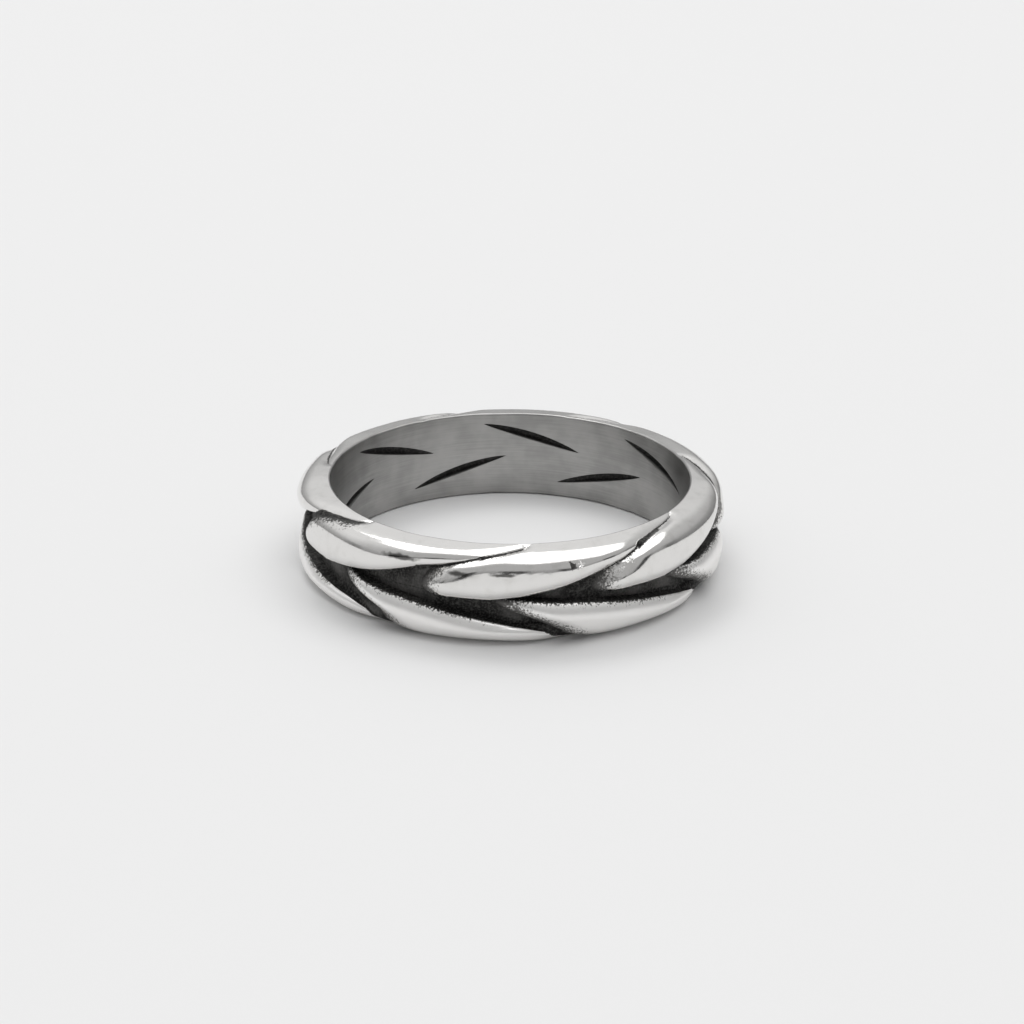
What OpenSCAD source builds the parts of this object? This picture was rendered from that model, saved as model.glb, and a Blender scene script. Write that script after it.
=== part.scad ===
// Braided band ring, cast in one piece of silver.
// The bore is on the Z axis and the origin is at its middle.
// Two rows of leaf-shaped strand lengths overlap like the strands of a flat braid.

/* [Band] */
// Inside diameter, where the finger goes
bore_d = 19.0; // [16:0.5:22]
// Width of the band along the finger
band_w = 4.96; // [4.8:0.02:5.2]
// Wall from the bore to the crest of a strand
wall_t = 2.0; // [1.9:0.05:2.2]
// Radius of the slightly crowned side of the band
side_r = 7.5; // [6.5:0.5:8]
// Turn of the crowned side, from mid-width to the shoulder, in degrees
side_turn = 14; // [12:1:15]
// Slope of the rims, which fall away from the bore, in degrees
rim_slope = 6; // [4:1:8]

/* [Braid] */
// Leaves in each of the two rows
leaves = 7; // [6:1:8]
// Length of a leaf, in steps of the row
leaf_steps = 1.63; // [1.58:0.01:1.66]
// How strongly a leaf's inner edge curves towards the rim
edge_bend = 1.8; // [1.7:0.05:1.9]
// How far that edge swings ahead where it crosses the shoulder
edge_swing = 0.36; // [0.2:0.02:0.4]
// Depth of the gaps between the strands, below the crests
gap_depth = 1.0; // [0.9:0.05:1.1]
// Depth of the same gaps on the rims
rim_gap = 0.18; // [0.1:0.02:0.3]
// Depth of a leaf's crisp inner edge, below its crest
edge_drop = 0.38; // [0.3:0.02:0.44]
// Radius that rounds a leaf down to its inner edge
edge_round = 1.3; // [1.1:0.05:1.5]
// Length of the slope on which a leaf rises out of the gap, in steps of the row
nose_steps = 0.31; // [0.28:0.01:0.36]
// Turn of the first upper leaf's nose about the bore, in degrees
first_nose = -165; // [-180:1:180]

/* [Slots in the bore] */
// Width of a slot at its middle
slot_w = 0.42; // [0.3:0.02:0.5]
// Depth of a slot at its middle
slot_depth = 0.5; // [0.4:0.05:0.55]
// Start of a slot along its leaf, in steps of the row
slot_start = 0.49; // [0.44:0.01:0.54]
// Length of a slot, in steps of the row
slot_length = 0.645; // [0.5:0.005:0.66]
// Distance of a slot's start from mid-width
slot_low = 0.25; // [0.2:0.05:0.35]
// Distance of a slot's end from mid-width
slot_high = 1.7; // [1.5:0.05:1.75]
// Height by which all the slots sit above mid-width
slot_lift = 0.12; // [0:0.02:0.2]

/* [Hidden] */

bore_r = bore_d / 2;
crest_r = bore_r + wall_t;
step = 360 / leaves;
leaf_turn = leaf_steps * step;
// Lean of the rim's normal, and the radius and middle of the shoulder that joins it to the side
rim_lean = 90 - rim_slope;
shoulder_turn = rim_lean - side_turn;
shoulder_r = ((bore_r - crest_r + side_r) * cos(rim_lean) + band_w / 2 * sin(rim_lean)
    - side_r * cos(shoulder_turn)) / (1 - cos(shoulder_turn));
shoulder_cx = crest_r - side_r + (side_r - shoulder_r) * cos(side_turn);
shoulder_cz = (side_r - shoulder_r) * sin(side_turn);
// Lengths along the outline of the band's section, from mid-width
side_end = side_r * side_turn * PI / 180;
shoulder_end = side_end + shoulder_r * shoulder_turn * PI / 180;
bore_end = shoulder_end + (shoulder_cx + shoulder_r * cos(rim_lean) - bore_r) / sin(rim_lean);
// Spare metal at the rims, which the bore cuts away
spare = 0.35;
outline_end = bore_end + spare;
// Turns that shape a nose: its root, its flank 1 mm from mid-width and its flank at the rim
root_turn = 0.185 * step;
flank_turn = 0.095 * step;
rim_turn = 0.486 * step;
// Sections along a leaf and points across it
sections = 30;
across = 8;

function smooth(x) = let (c = min(1, max(0, x))) c * c * (3 - 2 * c);
function tanh(x) = 1 - 2 / (exp(2 * x) + 1);
function atanh(x) = 0.5 * ln((1 + x) / (1 - x));

// Lean of the outline's normal at length v from mid-width, in degrees
function lean(v) =
    v < side_end ? v / side_r * 180 / PI
    : v < shoulder_end ? side_turn + (v - side_end) / shoulder_r * 180 / PI
    : rim_lean;

// Point [radius, height] of the outline at length v, sunk by a depth
function on_outline(v, depth) =
    v < side_end
    ? [crest_r - side_r + (side_r - depth) * cos(lean(v)), (side_r - depth) * sin(lean(v))]
    : let (past = max(0, v - shoulder_end), out = shoulder_r - depth)
    [shoulder_cx + out * cos(lean(v)) - past * sin(rim_lean),
     shoulder_cz + out * sin(lean(v)) + past * cos(rim_lean)];

// Depth of the gaps at length v, and the depth at which a leaf's face ends below them
function floor_at(v) = gap_depth - (gap_depth - rim_gap) * smooth((v - 1.2) / 1.5);
function root_at(v) = floor_at(v) + 0.3;

// Place of a leaf's inner edge on the outline, s degrees from its nose
function edge_at(s) =
    let (u = max(s, 0) / leaf_turn, swing = min(1, max(0, (u - 0.6) / 0.38)))
    bore_end * pow(u, edge_bend) + edge_swing * pow(sin(180 * swing), 2);

// Depth of that edge below the crest, finer towards the tip
function drop_at(s) = edge_drop * (1 - 0.7 * smooth((s / leaf_turn - 0.62) / 0.38));

// Sink of a leaf's rounded side, t from its inner edge
function side_sink(s, t) =
    let (low = edge_round - drop_at(s), full = sqrt(edge_round * edge_round - low * low))
    t >= full ? 0 : edge_round - sqrt(edge_round * edge_round - pow(full - t, 2));

// Turn past its root at which a leaf leaves the floor of the gap, v from mid-width
function rise_at(v) = rim_turn * tanh(flank_turn * v * v / rim_turn);

// The reverse: place on the outline that leaves the floor x degrees past the root
function risen_to(x) =
    x > 0.995 * rim_turn ? outline_end
    : min(outline_end, sqrt(rim_turn * atanh(x / rim_turn) / flank_turn));

// Sink of a leaf's nose, which is full at its root and none where it has risen
function nose_sink(s, v) =
    let (x = (s + root_turn - rise_at(v)) / (nose_steps * step))
    x >= 1 ? 0 : x <= 0 ? root_at(v) : floor_at(v) * (1 - sin(90 * x)) + 0.3 * (1 - smooth(4 * x));

function leaf_sink(s, v) = min(root_at(v), side_sink(s, v - edge_at(s)) + nose_sink(s, v));

// Point of a leaf's underside below length v, well inside the metal below the gaps
function under(v) = [bore_r - spare, 0.85 * on_outline(v, 0)[1]];

// Width of the band over the spare metal at its rims
rough_w = 2 * on_outline(outline_end, 0)[1];

function turned(p, a) = [p[0] * cos(a), p[0] * sin(a), p[1]];

// One section of a leaf: the points across its face between its two roots
function leaf_section(s) =
    let (edge = edge_at(s),
         width = max(0.05, risen_to(s + root_turn) - edge))
    concat(
        [turned(under(edge), s)],
        [for (j = [0:across])
            let (v = edge + width * pow(j / across, 1.4)) turned(on_outline(v, leaf_sink(s, v)), s)],
        [turned(under(edge + width), s)]);

// Faces of a solid swept through n sections of m points, in triangles
function swept_faces(n, m) = concat(
    [for (i = [0:n - 2], j = [0:m - 1])
        let (a = i * m, b = (j + 1) % m) each [[a + j, a + b, a + m + j], [a + b, a + m + b, a + m + j]]],
    [for (j = [1:m - 2]) [0, j + 1, j]],
    [for (j = [1:m - 2])
        let (a = (n - 1) * m) [a, a + j, a + j + 1]]);

// A leaf from its root to the point where its edge has run off the rim
module leaf() {
    last = leaf_turn * pow((outline_end - 0.1) / bore_end, 1 / edge_bend);
    turns = [for (i = [0:sections]) (last + root_turn) * pow(i / sections, 1.1) - root_turn];
    points = [for (s = turns) each leaf_section(s)];
    polyhedron(points, swept_faces(len(turns), across + 3), convexity = 6);
}

// Spindle-shaped slot in the bore, below the inner edge of a leaf, cut by a tilted disc's thin rim
module slot() {
    half_turn = slot_length * step / 2;
    tilt = atan((slot_high - slot_low) / (2 * bore_r * sin(half_turn)));
    reach = bore_r + slot_depth;
    middle = (reach * reach - bore_r * bore_r) / (2 * (reach - bore_r * cos(half_turn)));
    disc_r = reach - middle;
    swing = asin(bore_r * sin(half_turn) / disc_r) + 12;
    half = [[disc_r, 0.2], [disc_r - 0.3 * slot_depth, 0.65], [disc_r - 2 * slot_depth, 1.5]];
    rotate([0, 0, slot_start * step + half_turn])
        translate([middle, 0, (slot_low + slot_high) / 2])
            rotate([tilt, 0, 0])
                rotate([0, 0, -swing])
                    rotate_extrude(angle = 2 * swing, $fn = 120)
                        polygon([for (p = half) [p[0], p[1] * slot_w / 2],
                                 for (i = [2:-1:0]) [half[i][0], -half[i][1] * slot_w / 2]]);
}

// The upper row and the lower one, which is mirrored and half a step on
module two_rows() {
    for (k = [0:leaves - 1]) {
        rotate([0, 0, first_nose + k * step]) children();
        rotate([0, 0, first_nose + (k + 0.5) * step]) mirror([0, 0, 1]) children();
    }
}

// Metal below the gaps
module core() {
    points_up = 7;
    inner = bore_r - spare - 0.1;
    upper = [for (i = [0:points_up])
        let (v = outline_end * i / points_up) on_outline(v, floor_at(v))];
    half = concat(upper, [[inner, upper[points_up][1]]]);
    rotate_extrude($fn = leaves * 8)
        polygon(concat(half, [for (i = [len(half) - 1:-1:1]) [half[i][0], -half[i][1]]]));
}

module braided_band() {
    color("silver")
    difference() {
        resize([0, 0, rough_w])
        union() {
            core();
            two_rows() leaf();
        }
        cylinder(r = bore_r, h = band_w + 2, center = true, $fn = 180);
        translate([0, 0, slot_lift]) two_rows() slot();
    }
}

braided_band();
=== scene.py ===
"""Looks of a braided band ring: a fine mesh, oxidised silver, floor, light and camera.

The band is one closed section, worked out anew at each turn about the bore and joined to the next.
The sizes and functions are those of the CAD source, in millimetres and degrees, at a finer step
and with the small unevenness of each leaf.
"""

import math

import bmesh
import bpy
import numpy as np
from mathutils import Matrix, Vector

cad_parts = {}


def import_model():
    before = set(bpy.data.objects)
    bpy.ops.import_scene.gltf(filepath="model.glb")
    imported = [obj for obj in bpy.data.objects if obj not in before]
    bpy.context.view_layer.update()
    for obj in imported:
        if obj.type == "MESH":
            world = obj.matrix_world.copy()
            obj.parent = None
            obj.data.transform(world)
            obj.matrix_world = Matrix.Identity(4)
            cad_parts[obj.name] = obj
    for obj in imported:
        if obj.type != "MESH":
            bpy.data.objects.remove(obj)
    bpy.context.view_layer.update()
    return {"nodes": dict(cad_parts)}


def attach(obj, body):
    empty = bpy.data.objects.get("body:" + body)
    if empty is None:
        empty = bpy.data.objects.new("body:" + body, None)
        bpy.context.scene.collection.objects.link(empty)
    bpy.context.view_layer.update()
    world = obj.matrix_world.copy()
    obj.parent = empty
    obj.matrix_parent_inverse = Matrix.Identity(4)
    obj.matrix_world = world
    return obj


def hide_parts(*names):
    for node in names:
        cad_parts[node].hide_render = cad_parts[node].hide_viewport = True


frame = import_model()

rad = math.radians
MM = 0.001

# Sizes of the band, as in the CAD source where no comment says otherwise. A pair whose name ends
# in _IN or _OUT holds where something starts to come or to go, and the length that it takes.
BORE_R = 9.5
BAND_W = 4.96
WALL_T = 2.0
CREST_R = BORE_R + WALL_T
SIDE_R = 7.5
SIDE_TURN = 12.0  # 14 in the CAD source, whose shoulder is a little sharper
RIM_SLOPE = 6.0
RIM_LEAN = 90.0 - RIM_SLOPE
LEAVES = 7
STEP = 360.0 / LEAVES
LEAF_TURN = 1.63 * STEP
EDGE_BEND = 1.8
SWING_FROM, SWING_RUN = 0.6, 0.38  # part of a leaf's length where its inner edge swings ahead
GAP_DEPTH = 1.0
RIM_GAP = 0.18
GAP_OUT = (1.2, 1.5)
ROOT_BELOW = 0.3  # depth of a leaf's root below the floor of the gap
ROOT_SHARE = 0.25  # share of its rise in which a nose leaves that root
EDGE_DROP = 0.38
TIP_THIN = 0.82  # share that the drop of the edge loses towards the tip, 0.7 in the CAD source
TIP_IN = (0.56, 0.38)  # part of a leaf's length where it gets thinner, from 0.62 in the CAD source
EDGE_ROUND = 1.3
ROOT_TURN = 0.185 * STEP
SLOT_W = 0.50  # 0.42 in the CAD source, without the stained margin
SLOT_DEPTH = 0.5
SLOT_START = 0.49
SLOT_LENGTH = 0.645
SLOT_LOW = 0.25
SLOT_HIGH = 1.7
SLOT_LIFT = 0.12
FIRST_NOSE = -165.0
# The turns that shape a nose, for the upper row and for the lower one; the CAD source has 0.31,
# 0.095 and 0.486 of a step for both
NOSE_TURN = (0.20 * STEP, 0.31 * STEP)
FLANK_TURN = (0.02 * STEP, 0.13 * STEP)
RIM_TURN = (0.486 * STEP, 0.33 * STEP)

# The outline of the band's section: radius and middle of the shoulder, and lengths from mid-width
SHOULDER_TURN = RIM_LEAN - SIDE_TURN
SHOULDER_R = (
    (BORE_R - CREST_R + SIDE_R) * math.cos(rad(RIM_LEAN))
    + BAND_W / 2 * math.sin(rad(RIM_LEAN))
    - SIDE_R * math.cos(rad(SHOULDER_TURN))
) / (1 - math.cos(rad(SHOULDER_TURN)))
SHOULDER_CX = CREST_R - SIDE_R + (SIDE_R - SHOULDER_R) * math.cos(rad(SIDE_TURN))
SHOULDER_CZ = (SIDE_R - SHOULDER_R) * math.sin(rad(SIDE_TURN))
SIDE_END = SIDE_R * rad(SIDE_TURN)
SHOULDER_END = SIDE_END + SHOULDER_R * rad(SHOULDER_TURN)
BORE_END = SHOULDER_END + (
    SHOULDER_CX + SHOULDER_R * math.cos(rad(RIM_LEAN)) - BORE_R
) / math.sin(rad(RIM_LEAN))

# Finer shape that the CAD source leaves out
EDGE_SOFT = 0.07  # rounding of a leaf's crisp inner edge
BORE_SOFT = 0.10  # rounding of the bore's two edges
WAVE = 0.045  # height of the slow waviness of the polished metal
WAVES = 7  # sine waves in it
WAVE_LENGTH = (2.2, 7.0)
WAVE_TURN = 0.9  # most by which a wave runs askew, in radians
WAVE_SEED = 100
BASE_SINK = 0.010  # keeps the finer surface inside the CAD's box
SIDE_SINK = 0.035  # the same, near mid-width
SIDE_SINK_OUT = (1.2, 1.2)  # from mid-width

# Unevenness of the hand-made leaves, for the seven of the upper row and the seven of the lower row:
# how late a nose rises, in degrees, and then, in mm, the shift of the leaf's inner edge, how far it
# swings ahead, and the width of the black crevice at the foot of the leaf that lies over it
NOSE_LATE = ((7.8, 6.7, 2.2, 5.0, 7.0, 4.0, 6.0), (3.8, 0.0, 1.0, 3.0, 2.0, 3.0, 2.0))
EDGE_SHIFT = (
    (-0.25, -0.25, -0.20, -0.20, -0.15, -0.20, -0.25),
    (0.15, 0.10, -0.40, 0.15, 0.10, 0.15, 0.50),
)
EDGE_SWING = ((0.0, 0.50, 0.36, 0.36, 0.30, 0.36, 0.36), (0.36,) * LEAVES)
CREVICE = (
    (0.85, 0.16, 0.12, 0.06, 0.05, 0.05, 0.05),
    (0.15, 0.12, 0.14, 0.12, 0.15, 0.12, 0.15),
)
SHIFT_IN, SHIFT_OUT = (2, 10), (35, 25)  # turns where the shift comes and goes
WIDE_CREVICE = 0.3  # above this width, the wall over a crevice is black to the top

# The crevice: a leaf rounds down to the foot of the one over it
ROUND_DOWN = 0.22  # width of that rounding
ROUND_NOSE, ROUND_OUT = 0.45, (4, 30)  # what it has more at the nose, and the turns where that goes
ROUND_DEEP = 0.09  # how far it goes below the drop of the upper leaf's edge
ROUND_SHARE = 0.35  # least share of that depth, for a crevice of no width
CREVICE_STOP, CREVICE_FADE = 0.5, 0.4  # how far before the bore it fades out, over what length
FOOT_NOSE, FOOT_OUT = 0.7, (0, 15)  # share by which the black is wider at the nose, and its turns

# The black along a leaf's own inner edge: width in each row, how black, and the turns where it goes
EDGE_BLACK = (0.05, 0.11)
EDGE_SHARE = 0.75
EDGE_OUT = (30, 25)

# The mesh
COLUMNS = 90  # faces in one step of a row; even, because the lower row is half a step on
ROWS = 20  # faces across each part of a section
ROW_CROWD = 1.25  # power that crowds them towards a leaf's inner edge
SLOT_ROWS = 8  # the same across a slot, a stretch of the bore's wall and the rounding
BORE_ROWS = 3
ROUND_ROWS = 6
END_ROUNDS = 4  # rounds in which the end of the rim's face is found
SLOT_TAPER, SLOT_CROWD, SLOT_BELLY = 0.7, 0.8, 0.45  # powers that shape a slot and its section
SLOPE_V, SLOPE_S = 0.004, 0.04  # steps, in mm and degrees, that find the surface's slope
OFF_EDGE = 0.05  # farther than this outside its inner edge, a leaf is back at its root
WALL_LEAN = 0.35  # outward lean of the steep edges' shading
BLACK_WALL, BRIGHT_WALL = 0.85, 0.05  # how black the top of such an edge is
WELD = 3e-4
LEAF, BORE, SLOT = 0, 1, 2  # kinds of faces, which are their material slots


def smooth(x):
    c = np.clip(x, 0, 1)
    return c * c * (3 - 2 * c)


def rise(x, start, run):
    """Smooth step from 0 at the start to 1 after the run."""
    return smooth((x - start) / run)


def lean(v):
    """Lean of the outline's normal at length v from mid-width, in radians."""
    shoulder = rad(SIDE_TURN) + (v - SIDE_END) / SHOULDER_R
    return np.where(v < SIDE_END, v / SIDE_R, np.minimum(shoulder, rad(RIM_LEAN)))


def on_outline(v, depth):
    """Radius and height of the outline at length v, sunk by a depth."""
    a = lean(v)
    past = np.maximum(0, v - SHOULDER_END)
    out = SHOULDER_R - depth
    r = np.where(
        v < SIDE_END,
        CREST_R - SIDE_R + (SIDE_R - depth) * np.cos(a),
        SHOULDER_CX + out * np.cos(a) - past * math.sin(rad(RIM_LEAN)),
    )
    z = np.where(
        v < SIDE_END,
        (SIDE_R - depth) * np.sin(a),
        SHOULDER_CZ + out * np.sin(a) + past * math.cos(rad(RIM_LEAN)),
    )
    return r, z


def floor_at(v):
    return GAP_DEPTH - (GAP_DEPTH - RIM_GAP) * rise(v, *GAP_OUT)


def root_at(v):
    return floor_at(v) + ROOT_BELOW


def edge_at(s, leaf):
    """Place of a leaf's inner edge on the outline, s degrees from its nose."""
    u = np.maximum(s, 0) / LEAF_TURN
    swing = np.clip((u - SWING_FROM) / SWING_RUN, 0, 1)
    row, k = divmod(leaf, LEAVES)
    shift = EDGE_SHIFT[row][k] * rise(s, *SHIFT_IN) * (1 - rise(s, *SHIFT_OUT))
    ahead = EDGE_SWING[row][k] * np.sin(math.pi * swing) ** 2
    return np.maximum(0, BORE_END * u**EDGE_BEND + ahead + shift)


def drop_at(s):
    """Depth of that edge below the crest, finer towards the tip."""
    return EDGE_DROP * (1 - TIP_THIN * rise(s / LEAF_TURN, *TIP_IN))


def side_sink(s, t):
    """Sink of a leaf's rounded side, t from its inner edge."""
    low = EDGE_ROUND - drop_at(s)
    full = np.sqrt(EDGE_ROUND**2 - low**2)
    inside = np.clip(full - t, 0, EDGE_ROUND)
    soft = np.clip(1 - t / EDGE_SOFT, 0, 1)
    rounded = EDGE_ROUND - np.sqrt(EDGE_ROUND**2 - inside**2)
    return rounded + EDGE_SOFT * (1 - np.sqrt(1 - soft**2))


def nose_risen(s, v, leaf):
    """Share of its rise that a leaf's nose has done, 0 at its root on the floor of the gap."""
    row, k = divmod(leaf, LEAVES)
    late = RIM_TURN[row] * np.tanh(FLANK_TURN[row] * v * v / RIM_TURN[row])
    return np.clip((s + ROOT_TURN - NOSE_LATE[row][k] - late) / NOSE_TURN[row], 0, 1)


def nose_sink(s, v, leaf):
    """Sink of a leaf's nose, which rises out of the floor of the gap."""
    c = nose_risen(s, v, leaf)
    sink = floor_at(v) * (1 - np.sin(math.pi / 2 * c)) + ROOT_BELOW * (1 - smooth(c / ROOT_SHARE))
    return np.where(c >= 1, 0, np.where(c <= 0, root_at(v), sink))


def crevice_near(s, v, leaf, width):
    """How near a point is to the foot of the leaf that lies over this one, 1 at its edge."""
    over = edge_at(s + STEP, older(leaf))
    away = np.maximum(0, over - v) / width
    return np.exp(-(away**2)) * (1 - smooth((over - BORE_END + CREVICE_STOP) / CREVICE_FADE))


def crevice_sink(s, v, leaf):
    """Sink of a leaf that rounds down to the foot of the one over it, widest at its nose."""
    row, k = divmod(leaf, LEAVES)
    width = ROUND_DOWN + ROUND_NOSE * (1 - rise(s, *ROUND_OUT))
    share = min(1, ROUND_SHARE + CREVICE[row][k] / ROUND_DOWN)
    deep = (drop_at(s + STEP) + ROUND_DEEP) * share
    return deep * crevice_near(s, v, leaf, width)


def foot_black(s, v, leaf):
    """Black left along the foot of the leaf that lies over this one."""
    row, k = divmod(leaf, LEAVES)
    width = CREVICE[row][k] * (1 + FOOT_NOSE * (1 - rise(s, *FOOT_OUT)))
    return crevice_near(s, v, leaf, width)


def edge_black(s, v, leaf):
    """Black left along a leaf's own inner edge, as far as its middle."""
    away = np.maximum(0, v - edge_at(s, leaf)) / EDGE_BLACK[leaf // LEAVES]
    return EDGE_SHARE * np.exp(-away) * (1 - rise(s, *EDGE_OUT))


def waviness(s, v, leaf):
    """Slow unevenness of hand-polished metal, new for each leaf and never above the outline."""
    rng = np.random.default_rng(WAVE_SEED + leaf)
    along = s * rad(1) * CREST_R
    total = 0
    for _ in range(WAVES):
        length = rng.uniform(*WAVE_LENGTH)
        turn = rng.uniform(-WAVE_TURN, WAVE_TURN)
        phase = rng.uniform(0, 2 * math.pi)
        across = along * math.cos(turn) + v * math.sin(turn)
        total = total + np.sin(2 * math.pi / length * across + phase)
    settled = BASE_SINK + SIDE_SINK * (1 - rise(v, *SIDE_SINK_OUT))
    return settled + WAVE * (0.5 + 0.5 * total / WAVES)


def leaf_sink(s, v, leaf):
    """Depth of a leaf's face below the outline, at most that of its root."""
    t = v - edge_at(s, leaf)
    sink = side_sink(s, t) + nose_sink(s, v, leaf) + crevice_sink(s, v, leaf) + waviness(s, v, leaf)
    return np.where(t < -OFF_EDGE, root_at(v), np.minimum(root_at(v), sink))


def older(leaf):
    """The leaf one step behind, in the same row."""
    row, k = divmod(leaf, LEAVES)
    return (k - 1) % LEAVES + row * LEAVES


def layers(parts, s, v, leaf):
    """Depths of the gap's floor and of the 0 to 2 leaves that may lie over it."""
    found = [floor_at(v), leaf_sink(s, v, leaf), leaf_sink(s + STEP, v, older(leaf))]
    return np.stack(found[: parts + 1])


def place(parts, s, v, leaf):
    """Points of the surface where the gap and a number of leaves may lie over each other."""
    r, z = on_outline(v, layers(parts, s, v, leaf).min(0))
    return xyz(r, z, s)


def xyz(r, z, turn):
    a = turn * rad(1)
    return np.stack([r * np.cos(a), r * np.sin(a), z + 0 * a], -1)


def unit(n):
    return n / (np.linalg.norm(n, axis=-1, keepdims=True) + 1e-20)


class Strip:
    """Rows of points across the sections, with their normals, wear and the kind of their faces."""

    def __init__(self, points, normals, sunk, crevice, kind):
        shape = points.shape[:2]
        self.points, self.normals, self.kind = points, np.broadcast_to(normals, points.shape), kind
        self.sunk, self.crevice = np.broadcast_to(sunk, shape), np.broadcast_to(crevice, shape)


def face_strip(parts, s, low, high, leaf):
    """The surface between two lines, where a number of leaves may lie over the gap."""
    t = (np.arange(ROWS + 1) / ROWS) ** ROW_CROWD
    v = low[:, None] + (high - low)[:, None] * t
    ss = np.repeat(s[:, None], ROWS + 1, 1)
    points = place(parts, ss, v, leaf)
    # the slope is taken on this side of the line, past which another leaf begins
    v0 = np.maximum(v - SLOPE_V, low[:, None] + SLOPE_V / 8)
    v1 = v0 + SLOPE_V
    dv = place(parts, ss, v0 + 2 * SLOPE_V, leaf) - place(parts, ss, v0, leaf)
    ds = place(parts, ss + SLOPE_S, v1, leaf) - place(parts, ss - SLOPE_S, v1, leaf)
    # how deep in its rise the uppermost face is, and how near a crevice
    found = layers(parts, ss, v, leaf)
    rising = [1 - nose_risen(ss, v, leaf), 1 - nose_risen(ss + STEP, v, older(leaf))]
    share = np.stack([np.ones_like(v)] + rising)[: parts + 1]
    sunk = np.take_along_axis(share, found.argmin(0)[None], 0)[0]
    crevice = 0 * v
    if parts == 1:
        crevice = np.maximum(foot_black(ss, v, leaf), edge_black(ss, v, leaf))
    if parts == 2:
        crevice = edge_black(ss + STEP, v, older(leaf))
    return Strip(points, unit(np.cross(ds, dv)), sunk, crevice, LEAF)


def wall_strip(lower, upper, s, black=BLACK_WALL):
    """The steep edge of a leaf, from the surface below it up to its own."""
    points = np.stack([lower.points[:, -1], upper.points[:, 0]], 1)
    a = (s * rad(1))[:, None]
    down = np.concatenate([WALL_LEAN * np.cos(a), WALL_LEAN * np.sin(a), -np.ones_like(a)], 1)
    normals = np.repeat(unit(down)[:, None], 2, 1)
    wear = np.array([1.0, black])
    return Strip(points, normals, wear, wear, LEAF)


def rim_end(s, leaf):
    """Where the rim's face meets the rounding of the bore's edge."""
    rim = rad(RIM_LEAN)
    end = BORE_END - BORE_SOFT + 0 * s
    for _ in range(END_ROUNDS):
        depth = layers(2, s, end, leaf).min(0) + BORE_SOFT
        run = SHOULDER_CX + (SHOULDER_R - depth) * math.cos(rim) - BORE_R - BORE_SOFT
        end = SHOULDER_END + run / math.sin(rim)
    return end


def round_strip(s, end, leaf, start):
    """The rounding of the bore's edge, from the last points of the rim's face."""
    mid_r, mid_z = on_outline(end, layers(2, s, end, leaf).min(0) + BORE_SOFT)
    a = np.linspace(rad(RIM_LEAN), math.pi, ROUND_ROWS + 1)
    r = mid_r[:, None] + BORE_SOFT * np.cos(a)
    r[:, -1] = BORE_R
    z = mid_z[:, None] + BORE_SOFT * np.sin(a)
    turn = np.repeat(s[:, None], len(a), 1)
    points = xyz(r, z, turn)
    points[:, 0] = start
    outward = xyz(np.cos(a) + 0 * turn, np.sin(a) + 0 * turn, turn)
    return Strip(points, outward, 0.0, 0.0, BORE)


def bore_strip(s, high, low):
    """The bore's wall between two heights."""
    z = high + (low - high) * np.linspace(0, 1, BORE_ROWS + 1)
    turn = np.repeat(s[:, None], BORE_ROWS + 1, 1)
    inward = xyz(-1 + 0 * turn, 0 * turn, turn)
    return Strip(xyz(BORE_R + 0 * z, z, turn), inward, 0.0, 0.0, BORE)


def bore_strips(s, top, up):
    """The bore's wall above the slot, the slot, and the wall down to the line between the rows."""
    u = s / STEP
    f = np.where(u < SLOT_START, u + 1 - SLOT_START, u - SLOT_START) / SLOT_LENGTH
    back = (u - (SLOT_START + SLOT_LENGTH - 1)) / (1 - SLOT_LENGTH)
    in_slot = f <= 1
    along = np.where(in_slot, f, 1 - back)
    swell = np.where(in_slot, np.sin(math.pi * np.clip(f, 0, 1)), 0)
    middle = SLOT_LOW + (SLOT_HIGH - SLOT_LOW) * along + up * SLOT_LIFT
    half, deep = SLOT_W / 2 * swell**SLOT_TAPER, SLOT_DEPTH * swell
    b = np.linspace(math.pi / 2, -math.pi / 2, SLOT_ROWS + 1)
    across = np.sign(b) * np.abs(np.sin(b)) ** SLOT_CROWD
    belly = np.abs(np.cos(b)) ** SLOT_BELLY
    belly[[0, -1]] = 0
    z = middle[:, None] + half[:, None] * across
    turn = np.repeat(s[:, None], SLOT_ROWS + 1, 1)
    points = xyz(BORE_R + deep[:, None] * belly, z, turn)
    n = unit(np.cross(np.gradient(points, axis=0), np.gradient(points, axis=1)) + 1e-12)
    slot = Strip(points, n, belly[None], 0.0, SLOT)
    return [bore_strip(s, top, z[:, :1]), slot, bore_strip(s, z[:, -1:], up * SLOT_LIFT)]


def half_section(k, row):
    """All strips of one step of one row, from mid-width over the rim and into the bore."""
    leaf = k + row * LEAVES
    s = STEP * np.arange(COLUMNS + 1) / COLUMNS - ROOT_TURN
    up = -1.0 if row else 1.0
    end = rim_end(s, leaf)
    first = edge_at(s, leaf)
    second = np.minimum(edge_at(s + STEP, older(leaf)), end)

    gap = face_strip(0, s, 0 * s, first, leaf)
    young = face_strip(1, s, first, second, leaf)
    old = face_strip(2, s, second, end, leaf)
    black = BLACK_WALL if row or CREVICE[row][k] > WIDE_CREVICE else BRIGHT_WALL
    strips = [gap, wall_strip(gap, young, s), young, wall_strip(young, old, s, black), old]
    strips.append(round_strip(s, end, leaf, old.points[:, -1]))
    strips += bore_strips(s, strips[-1].points[:, -1:, 2], up)

    # turn to the leaf's place, and mirror the lower row
    nose = rad(FIRST_NOSE + (k + 0.5 * row) * STEP)
    turned = np.array(
        [[math.cos(nose), math.sin(nose), 0], [-math.sin(nose), math.cos(nose), 0], [0, 0, up]]
    )
    for strip in strips:
        strip.points, strip.normals = strip.points @ turned, strip.normals @ turned
    return strips


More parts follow.
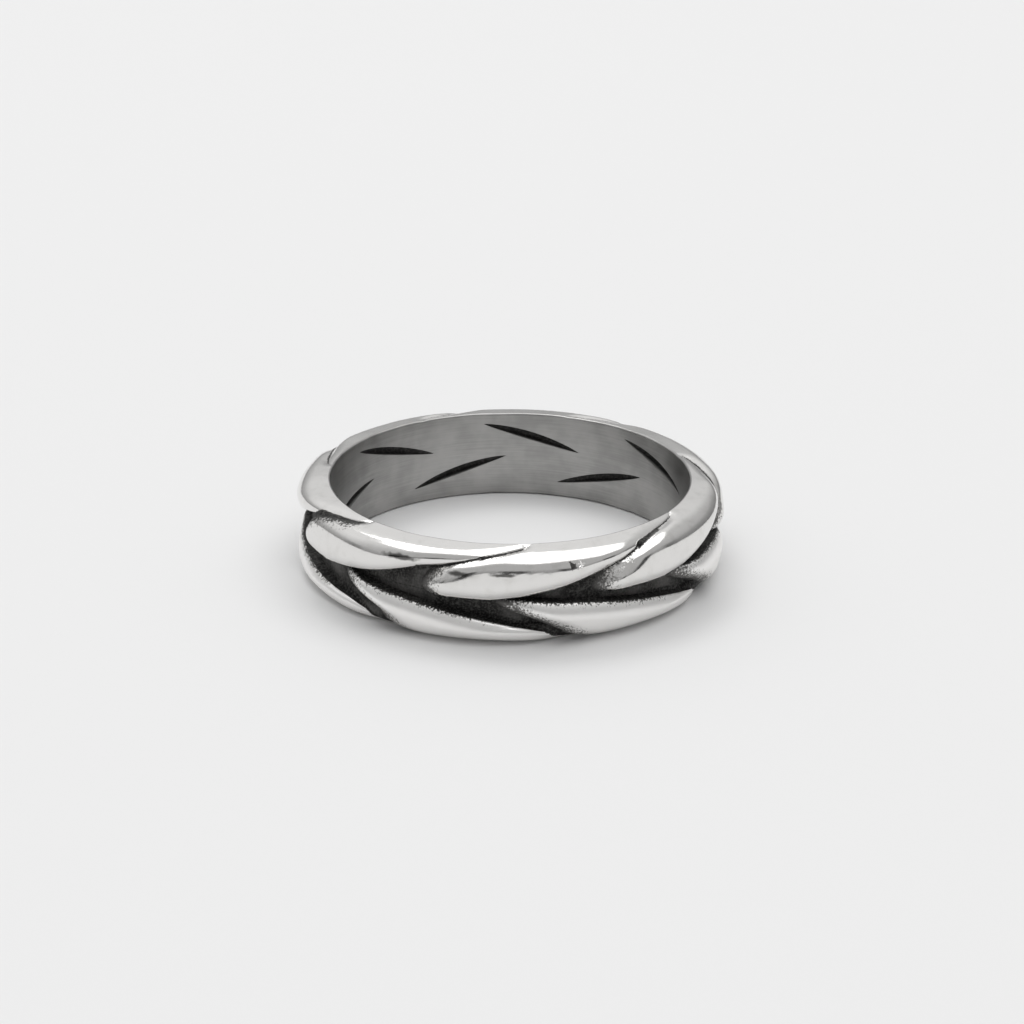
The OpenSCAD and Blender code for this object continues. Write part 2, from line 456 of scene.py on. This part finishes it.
def build_band():
    """Mesh of the whole band, with its corner normals and wear kept as attributes."""
    points, corners, normals, wear, kinds = [], [], [], [], []
    count = 0
    for row in range(2):
        for k in range(LEAVES):
            for strip in half_section(k, row):
                n, m = strip.points.shape[:2]
                i, j = np.meshgrid(np.arange(n - 1), np.arange(m - 1), indexing="ij")
                a = (i * m + j).ravel()
                quad = np.stack([a, a + m, a + m + 1, a + 1], 1)
                if row:
                    quad = quad[:, ::-1]
                points.append(strip.points.reshape(-1, 3))
                corners.append(quad + count)
                normals.append(strip.normals.reshape(-1, 3)[quad.ravel()])
                one = np.ones_like(strip.sunk)
                looks = np.stack([strip.sunk, strip.crevice, row * one, one], -1)
                wear.append(looks.reshape(-1, 4)[quad.ravel()])
                kinds.append(np.full(len(quad), strip.kind))
                count += n * m
    points, corners = np.concatenate(points), np.concatenate(corners)
    mesh = bpy.data.meshes.new("cast_braided_band")
    mesh.vertices.add(len(points))
    mesh.vertices.foreach_set("co", points.ravel())
    mesh.loops.add(corners.size)
    mesh.loops.foreach_set("vertex_index", corners.ravel().astype(np.int32))
    mesh.polygons.add(len(corners))
    mesh.polygons.foreach_set("loop_start", np.arange(0, corners.size, 4, dtype=np.int32))
    mesh.polygons.foreach_set("loop_total", np.full(len(corners), 4, np.int32))
    mesh.polygons.foreach_set("material_index", np.concatenate(kinds).astype(np.int32))
    mesh.update(calc_edges=True)
    store(mesh, "corner_normal", "FLOAT_VECTOR", "vector", np.concatenate(normals))
    store(mesh, "wear", "FLOAT_COLOR", "color", np.clip(np.concatenate(wear), 0, 1))
    join_strips(mesh)
    return mesh


def store(mesh, name, kind, field, values):
    """Keeps a value for each corner in the mesh."""
    attribute = mesh.attributes.new(name, kind, "CORNER")
    attribute.data.foreach_set(field, values.astype(np.float32).ravel())


def join_strips(mesh):
    """Welds the strips, which meet point on point, then gives the corners their exact normals."""
    bm = bmesh.new()
    bm.from_mesh(mesh)
    bmesh.ops.remove_doubles(bm, verts=bm.verts[:], dist=WELD)
    bmesh.ops.scale(bm, vec=(MM, MM, MM), verts=bm.verts[:])
    bm.to_mesh(mesh)
    bm.free()
    normal = np.zeros(len(mesh.loops) * 3, np.float32)
    mesh.attributes["corner_normal"].data.foreach_get("vector", normal)
    mesh.attributes.remove(mesh.attributes["corner_normal"])
    mesh.polygons.foreach_set("use_smooth", np.ones(len(mesh.polygons), bool))
    mesh.update()
    mesh.normals_split_custom_set(normal.reshape(-1, 3))


class Nodes:
    """Adds nodes to a material or a world and links them."""

    def __init__(self, owner):
        owner.use_nodes = True
        self.owner, self.tree = owner, owner.node_tree
        self.tree.nodes.clear()

    def add(self, kind, inputs=None, **settings):
        """A new node with its inputs, by name or number, and its settings."""
        node = self.tree.nodes.new(kind)
        for key, value in settings.items():
            setattr(node, key, value)
        for key, value in (inputs or {}).items():
            self.set(node, key, value)
        return node

    def set(self, node, key, value):
        if isinstance(value, bpy.types.NodeSocket):
            self.tree.links.new(value, node.inputs[key])
        elif isinstance(value, bpy.types.Node):
            self.tree.links.new(value.outputs[0], node.inputs[key])
        else:
            node.inputs[key].default_value = value

    def math(self, operation, *values):
        return self.add("ShaderNodeMath", dict(enumerate(values)), operation=operation).outputs[0]

    def plus(self, a, b):
        return self.math("ADD", a, b)

    def times(self, a, b):
        return self.math("MULTIPLY", a, b)

    def most(self, a, b):
        return self.math("MAXIMUM", a, b)

    def span(self, x, low, high, to_low=0.0, to_high=1.0):
        """Smooth step of x from one value at low to another at high."""
        ends = {"From Min": low, "From Max": high, "To Min": to_low, "To Max": to_high}
        inputs = {"Value": x, **ends}
        return self.add("ShaderNodeMapRange", inputs, interpolation_type="SMOOTHSTEP").outputs[0]

    def place(self):
        return self.add("ShaderNodeTexCoord").outputs["Object"]

    def noise(self, scale, detail, stretch=(1, 1, 1)):
        mapping = self.add("ShaderNodeMapping", {"Vector": self.place(), "Scale": stretch})
        inputs = {"Vector": mapping, "Scale": scale, "Detail": detail, "Roughness": NOISE_ROUGH}
        return self.add("ShaderNodeTexNoise", inputs).outputs["Fac"]

    def mix(self, factor, a, b):
        return self.add("ShaderNodeMix", {0: factor, 6: a, 7: b}, data_type="RGBA").outputs[2]

    def ramp(self, x, stops):
        """Grey by x, through pairs of a place and a brightness."""
        node = self.add("ShaderNodeValToRGB", {0: x})
        elements = node.color_ramp.elements
        elements.remove(elements[-1])
        elements[0].position = stops[0][0]
        elements[0].color = grey(stops[0][1])
        for spot, value in stops[1:]:
            elements.new(spot).color = grey(value)
        return node.outputs[0]

    def wear(self):
        """What the mesh stores: share sunk in the gap, nearness of a crevice, and the row."""
        wear = self.add("ShaderNodeAttribute", attribute_name="wear", attribute_type="GEOMETRY")
        return self.add("ShaderNodeSeparateColor", {"Color": wear.outputs["Color"]}).outputs

    def surface(self, **inputs):
        shader = self.add("ShaderNodeBsdfPrincipled")
        for key, value in inputs.items():
            self.set(shader, key.replace("_", " "), value)
        self.add("ShaderNodeOutputMaterial", {"Surface": shader.outputs[0]})
        return self.owner


def grey(value):
    return (value, value, value, 1)


SILVER = (0.80, 0.79, 0.775, 1)
DULL_SILVER = (0.70, 0.69, 0.67, 1)
# lighter silver, which is painted light: it brightens the lower row and gives the nicks their
# painted highlight
PAINTED_LIGHT_SILVER = (0.95, 0.94, 0.925, 1)
# the upper oxide tone is also the colour of the painted dark reflections
OXIDE_LOW, OXIDE_HIGH_AND_DARK_REFLECTION = (0.028, 0.0275, 0.0268, 1), (0.11, 0.108, 0.104, 1)
THIN_OXIDE = (0.19, 0.186, 0.18, 1)
SLOT_BLACK, SLOT_GREY = (0.045, 0.044, 0.042, 1), (0.10, 0.098, 0.094, 1)
BORE_LOW, BORE_HIGH = (0.33, 0.327, 0.32, 1), (0.47, 0.465, 0.455, 1)
# painted shade of the bore, where it is seen edge on
BORE_SHADE = (0.10, 0.099, 0.097, 1)
FLOOR_LOW, FLOOR_HIGH = 0.80, 0.805

# Noise textures: scale per metre, and detail
GRAIN, PATCH = (9500, 1.5), (2600, 3.0)
WORN, FADED = (1300, 4.0), (450, 2.0)
BRUSHED, CLOUD = (900, 4.0), (420, 3.0)
SLOT_GRAIN, FLOOR_CLOUD = (6000, 2.0), (3, 2.0)
NOISE_ROUGH = 0.55  # strength of their finer octaves
NOISE_MIDDLE, NOISE_SPREAD = 0.5, (0.3, 0.7)

# Below, a pair without a comment of its own holds the levels between which something sets in: it is
# absent at the first and full at the second, and a share beside it says how much that is.

# The black on the leaves, by depth in the gap and by nearness to a crevice
SPECKLE_GRAIN, SPECKLE_PATCH = 1.9, 0.9
DEPTH_SPECKLED, DEPTH_SPECKLE = (0.0, 0.25), 0.60
DEPTH_BLACK = (0.20, 0.66)
CREVICE_SHARE, CREVICE_SPECKLE = 0.9, 0.65
CREVICE_NEAR, CREVICE_BLACK = (0.0, 0.15), (0.20, 0.58)
# how dark the painted dark reflections below the shoulder are
DARK_REFLECTION_SHARE = 0.95

# The oxide: its speckle, and where it is thin, high on a nose and in patches away from a crevice
OXIDE_SPECKLED = (-0.25, 0.45)
THIN_DEPTH, THIN_CREVICE = (0.97, 0.62), (0.5, 0.1)
FADED_PATCHES = (0.45, 0.65)
FADED_CREVICE, FADED_SHARE = (0.2, 0.6), 0.6  # full at the first, absent at the second

# The dull patches of the polished silver, and the grey ones of the slots with their border
WORN_PATCHES, WORN_SHARE = (0.48, 0.75), 0.6
SLOT_PATCHES, SLOT_BORDER = (0.4, 0.75), (0.0, 0.5)

# The bore: stretch of its brushed lines, their share in its tone, and the painted shade where it is
# seen edge on
BRUSH_STRETCH, BRUSH_SHARE, BORE_TONES = (0.35, 0.35, 14), 0.30, (0.36, 0.64)
EDGE_ON, EDGE_ON_SHARE = (0.35, 0.95), 0.55

# Roughness of the finishes, a range where there are two
POLISHED, OXIDE_ROUGH = (0.10, 0.16), 0.70
NICK_SHINES, NICK_ROUGH = (0.0, 0.4), 0.12
SATIN_MORE = 0.26  # what the satin lower row has more than the polished one
BORE_ROUGH, SLOT_ROUGH, FLOOR_ROUGH = (0.30, 0.40), 0.6, 0.9
SILVER_METAL, SLOT_METAL = 1.0, 0.6

# Relief of the leaves' grain and patches: two depths in the gap, and its height at each of them
GRAIN_RELIEF = (0.05, 0.6, 0.05, 0.7)
PATCH_RELIEF = (0.0, 0.2, 0.16, 0.8)
BUMP, RELIEF = 0.7, 0.00003  # strength of the bump, and its height in metres
BORE_BUMP, BORE_RELIEF = 0.07, 0.00002

# Small nicks, dents in the bump whose colour is lifted to a painted highlight: turn in degrees,
# place on the outline and radius in mm, and whether a painted dark reflection lies beside it
GLINT_NICKS = (
    (-72, 1.88, 0.19, True),
    (-57.4, 1.60, 0.19, True),
    (-70.5, -0.50, 0.15, False),
    (-85.8, 3.36, 0.14, False),
)
NICK_DEEP = 4.0  # depth of a nick, in heights of the grain
DARK_BESIDE_NICK_TURN, DARK_BESIDE_NICK_LOW = 2.0, 0.02  # from a nick to the painted dark reflection beside it, in degrees and mm
# Long painted dark reflections below the shoulder, in the same way
PAINTED_DARK_REFLECTIONS = ((-118.5, 1.86, 0.20), (-104.5, 1.44, 0.17), (-91.5, 1.50, 0.12))
# How each kind of spot looks: scale of the noise at its edge, core as a share of the radius, shares
# between which the noise scales the distance, and how many times longer than tall it is
# the looks of the painted dark reflection beside a nick
DARK_BESIDE_NICK_LOOK = (7000, 0.7, (0.6, 1.5), 1.0)
NICK_LOOK = (7000, 0.1, (0.6, 1.5), 1.0)
DARK_REFLECTION_LOOK = (2500, 0.45, (0.85, 1.2), 6.0)
SPOT_SINK = 0.05  # depth of all of these below the outline
SPOT_DEEP = 2  # reach of a spot into the metal, in radii
SPOT_DETAIL, SPOT_SPREAD = 2.0, (0.35, 0.65)  # detail and range of that noise


def silver_leaf():
    """Polished silver, black where it is sunk or near a crevice, with a speckled border between."""
    n = Nodes(bpy.data.materials.new("oxidised_silver"))
    sunk, crevice, lower = n.wear()
    grain, patch = n.noise(*GRAIN), n.noise(*PATCH)
    fine = n.times(n.math("SUBTRACT", grain, NOISE_MIDDLE), SPECKLE_GRAIN)
    speckle = n.plus(fine, n.times(n.math("SUBTRACT", patch, NOISE_MIDDLE), SPECKLE_PATCH))

    # how black: by depth and by crevices, and then the painted dark reflections beside the nicks
    # and below the shoulder
    some = n.times(n.span(sunk, *DEPTH_SPECKLED), DEPTH_SPECKLE)
    from_depth = n.span(n.plus(sunk, n.times(speckle, some)), *DEPTH_BLACK)
    level = n.plus(n.times(crevice, CREVICE_SHARE), n.times(speckle, CREVICE_SPECKLE))
    from_crevice = n.times(n.span(level, *CREVICE_BLACK), n.span(crevice, *CREVICE_NEAR))
    dark = n.most(from_depth, from_crevice)
    # painted dark reflections beside some nicks
    dark_beside_nicks = [(turn - DARK_BESIDE_NICK_TURN, v - DARK_BESIDE_NICK_LOW, radius) for turn, v, radius, has_dark_beside in GLINT_NICKS if has_dark_beside]
    dark_reflections = n.times(spots(n, PAINTED_DARK_REFLECTIONS, *DARK_REFLECTION_LOOK), DARK_REFLECTION_SHARE)
    painted_dark = n.most(spots(n, dark_beside_nicks, *DARK_BESIDE_NICK_LOOK), dark_reflections)

    # the lower row is satin and gets a lighter colour, which is painted light; the upper one is
    # polished and a little dull in patches
    worn = n.times(n.span(n.noise(*WORN), *WORN_PATCHES), WORN_SHARE)
    metal = n.mix(lower, n.mix(worn, SILVER, DULL_SILVER), PAINTED_LIGHT_SILVER)
    oxide = n.mix(n.span(speckle, *OXIDE_SPECKLED), OXIDE_LOW, OXIDE_HIGH_AND_DARK_REFLECTION)
    thin = n.times(n.span(sunk, *THIN_DEPTH), n.span(crevice, *THIN_CREVICE))
    away = n.span(crevice, *FADED_CREVICE, FADED_SHARE, 0.0)
    faded = n.times(n.span(n.noise(*FADED), *FADED_PATCHES), away)
    oxide = n.mix(n.most(thin, faded), oxide, THIN_OXIDE)
    # the painted dark reflections take the upper oxide tone
    colour = n.mix(painted_dark, n.mix(dark, metal, oxide), OXIDE_HIGH_AND_DARK_REFLECTION)
    polish = n.plus(n.span(patch, *NOISE_SPREAD, *POLISHED), n.times(lower, SATIN_MORE))
    rough = n.span(dark, 0.0, 1.0, polish, OXIDE_ROUGH)

    # fine relief, and the nicks: a dent in the bump and a painted highlight in the colour
    fine = n.times(grain, n.span(sunk, *GRAIN_RELIEF))
    relief = n.plus(fine, n.times(patch, n.span(sunk, *PATCH_RELIEF)))
    nick_glint = spots(n, [nick_glint[:3] for nick_glint in GLINT_NICKS], *NICK_LOOK)
    relief = n.math("SUBTRACT", relief, n.times(nick_glint, NICK_DEEP))
    bump = n.add("ShaderNodeBump", {"Height": relief, "Strength": BUMP, "Distance": RELIEF})
    # painted highlight: the nicks' colour is lifted to the lighter silver
    colour = n.mix(nick_glint, colour, PAINTED_LIGHT_SILVER)
    rough = n.span(nick_glint, *NICK_SHINES, rough, NICK_ROUGH)
    return n.surface(Base_Color=colour, Metallic=SILVER_METAL, Roughness=rough, Normal=bump)


def spots(n, places, grain, core, ragged, long):
    """Small spots, 1 in their core; each has a turn, a place on the outline and a radius."""
    here = n.place()
    noise = n.add("ShaderNodeTexNoise", {"Vector": here, "Scale": grain, "Detail": SPOT_DETAIL})
    uneven = n.span(noise.outputs["Fac"], *SPOT_SPREAD, *ragged)
    total = 0.0
    for turn, v, radius in places:
        r, z = on_outline(abs(v), SPOT_SINK)
        middle = xyz(r, math.copysign(z, v), np.array(float(turn))) * MM
        size = radius * MM
        inputs = {
            "Vector": here,
            "Location": [float(x) for x in middle],
            "Rotation": (0, 0, rad(turn)),
            "Scale": (SPOT_DEEP * size, long * size, size),
        }
        local = n.add("ShaderNodeMapping", vector_type="TEXTURE")
        for key, value in inputs.items():
            n.set(local, key, value)
        away = n.add("ShaderNodeVectorMath", {0: local}, operation="LENGTH").outputs["Value"]
        total = n.plus(total, n.span(n.times(away, uneven), core, 1.0, 1.0, 0.0))
    return n.math("MINIMUM", total, 1.0)


def bore_metal(n):
    """Satin grey of the bore, faintly brushed round it, with the two noises that it is made of."""
    lines = n.noise(*BRUSHED, stretch=BRUSH_STRETCH)
    cloud = n.noise(*CLOUD)
    tone = n.plus(n.times(lines, BRUSH_SHARE), n.times(cloud, 1 - BRUSH_SHARE))
    return n.mix(n.span(tone, *BORE_TONES), BORE_LOW, BORE_HIGH), lines, cloud


def silver_bore():
    """The bore's metal, with painted shade where it is seen edge on."""
    n = Nodes(bpy.data.materials.new("satin_silver_bore"))
    colour, lines, cloud = bore_metal(n)
    rough = n.span(cloud, *NOISE_SPREAD, *BORE_ROUGH)
    inputs = {"Height": lines, "Strength": BORE_BUMP, "Distance": BORE_RELIEF}
    bump = n.add("ShaderNodeBump", inputs)
    facing = n.add("ShaderNodeLayerWeight").outputs["Facing"]
    # painted shade: darker where the bore is seen edge on
    colour = n.mix(n.span(facing, *EDGE_ON, 0.0, EDGE_ON_SHARE), colour, BORE_SHADE)
    return n.surface(Base_Color=colour, Metallic=SILVER_METAL, Roughness=rough, Normal=bump)


def slot_black():
    """Black in the slots, which meets the bore's metal at their edges."""
    n = Nodes(bpy.data.materials.new("oxidised_slots"))
    deep = n.wear()[0]
    black = n.mix(n.span(n.noise(*SLOT_GRAIN), *SLOT_PATCHES), SLOT_BLACK, SLOT_GREY)
    colour = n.mix(n.span(deep, *SLOT_BORDER), bore_metal(n)[0], black)
    return n.surface(Base_Color=colour, Metallic=SLOT_METAL, Roughness=SLOT_ROUGH)


def pale_floor():
    """Matt white with a trace of cloud."""
    n = Nodes(bpy.data.materials.new("pale_floor"))
    colour = n.mix(n.noise(*FLOOR_CLOUD), grey(FLOOR_LOW), grey(FLOOR_HIGH))
    return n.surface(Base_Color=colour, Roughness=FLOOR_ROUGH)


def add_object(name, data):
    ob = bpy.data.objects.new(name, data)
    bpy.context.scene.collection.objects.link(ob)
    return ob


def add_ring():
    mesh = build_band()
    for material in (silver_leaf(), silver_bore(), slot_black()):
        mesh.materials.append(material)
    ring = add_object("cast_braided_band", mesh)
    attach(ring, "root")
    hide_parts("braided_band")
    # the CAD band, which this one stands for, gets the same metal
    cad = frame["nodes"]["braided_band"]
    cad.data.materials.clear()
    cad.data.materials.append(mesh.materials[LEAF])


FLOOR_Z = -BAND_W / 2 * MM
FLOOR_HALF = 3.0  # half its side, in metres


def floor():
    mesh = bpy.data.meshes.new("floor")
    h = FLOOR_HALF
    corners = [(-h, -h, FLOOR_Z), (h, -h, FLOOR_Z), (h, h, FLOOR_Z), (-h, h, FLOOR_Z)]
    mesh.from_pydata(corners, [], [(0, 1, 2, 3)])
    mesh.materials.append(pale_floor())
    add_object("floor", mesh)


# The studio's brightness by z of the direction looked in, on the camera's side and behind the
# ring, and how dark the gaps between the light panels in front are
FRONT = [(0.0, 0.35), (0.12, 0.42), (0.3, 0.55), (0.75, 0.55), (1.0, 0.8)]
BACK = [(0.0, 0.35), (0.25, 0.60), (0.36, 0.85), (0.6, 1.0), (1.0, 0.9)]
GAPS = [(0.0, 0.0), (0.02, 0.9), (0.20, 0.9), (0.26, 0.0)]
PANELS = 12  # light panels round the studio
PANEL_TURN = 2  # turn of the first gap between them, in degrees
GAP_EDGE = (0.1, 0.6)  # cosines between which a gap gets dark
GAP_GREY = 0.02
SIDES = (-0.35, 0.25)  # y between which the front passes into the back
RIGHT_END, RIGHT_SHADE = 0.6, 0.35  # x at which the back has got darker by this share
WORLD_STRENGTH = 0.85


def world():
    """A pale studio: light overhead and behind, darker low down on the camera's side."""
    studio = bpy.data.worlds.new("studio")
    bpy.context.scene.world = studio
    n = Nodes(studio)
    there = n.add("ShaderNodeTexCoord").outputs["Generated"]
    x, y, z = n.add("ShaderNodeSeparateXYZ", {0: there}).outputs
    wave = n.math("MULTIPLY_ADD", n.math("ARCTAN2", y, x), PANELS, -PANELS * rad(PANEL_TURN))
    gap = n.times(n.span(n.math("COSINE", wave), *GAP_EDGE), n.ramp(z, GAPS))
    front = n.mix(gap, n.ramp(z, FRONT), grey(GAP_GREY))
    back = n.mix(n.span(x, 0.0, RIGHT_END, 0.0, RIGHT_SHADE), n.ramp(z, BACK), grey(0.0))
    colour = n.mix(n.span(y, *SIDES), front, back)
    shade = n.add("ShaderNodeBackground", {0: colour, 1: WORLD_STRENGTH})
    n.add("ShaderNodeOutputWorld", {0: shade})


# Softboxes: turn and height in degrees, distance and sides in metres, and power in watts
SOFTBOXES = {
    "softbox_top": (45, 82, 0.9, (1.3, 1.1), 4.7),
    "softbox_back": (118, 60, 1.0, (0.35, 0.35), 1.2),
}


def area(name, azimuth, elevation, distance, sides, power):
    """A softbox aimed at the ring."""
    data = bpy.data.lights.new(name, "AREA")
    data.shape = "RECTANGLE"
    data.size, data.size_y = sides
    data.energy = power
    ob = add_object(name, data)
    a, e = rad(azimuth), rad(elevation)
    spot = Vector((math.cos(a) * math.cos(e), math.sin(a) * math.cos(e), math.sin(e))) * distance
    ob.location = spot
    ob.rotation_euler = (-spot).to_track_quat("-Z", "Y").to_euler()


# The photo's camera, fitted to the two edges of the bore, in metres, degrees and the photo's pixels
CAMERA_AWAY = 0.120
CAMERA_ELEVATION = 22.23
CAMERA_ROLL = 0.38
FOCAL_PX = 2246.0
MIDDLE_PX = (509.8, 516.1)  # where the ring's middle is seen
FRAME_PX = 1024.0
SENSOR = 36.0
CLIP = (0.005, 20)


def camera():
    """Looks at the ring from -Y, a little rolled, with the middle shifted as in the photo."""
    data = bpy.data.cameras.new("camera")
    data.sensor_width = SENSOR
    data.lens = FOCAL_PX / FRAME_PX * SENSOR
    data.shift_x = (FRAME_PX / 2 - MIDDLE_PX[0]) / FRAME_PX
    data.shift_y = (MIDDLE_PX[1] - FRAME_PX / 2) / FRAME_PX
    data.clip_start, data.clip_end = CLIP
    elevation, roll = rad(CAMERA_ELEVATION), rad(CAMERA_ROLL)
    back = Vector((0, -math.cos(elevation), math.sin(elevation)))
    right = Vector((1, 0, 0))
    up = back.cross(right)
    right_rolled = right * math.cos(roll) + up * math.sin(roll)
    up_rolled = up * math.cos(roll) - right * math.sin(roll)
    matrix = Matrix((right_rolled, up_rolled, back)).transposed().to_4x4()
    matrix.translation = back * CAMERA_AWAY
    ob = add_object("camera", data)
    ob.matrix_world = matrix
    bpy.context.scene.camera = ob


add_ring()
floor()
world()
for softbox, values in SOFTBOXES.items():
    area(softbox, *values)
camera()
bpy.context.scene.view_settings.view_transform = "Standard"
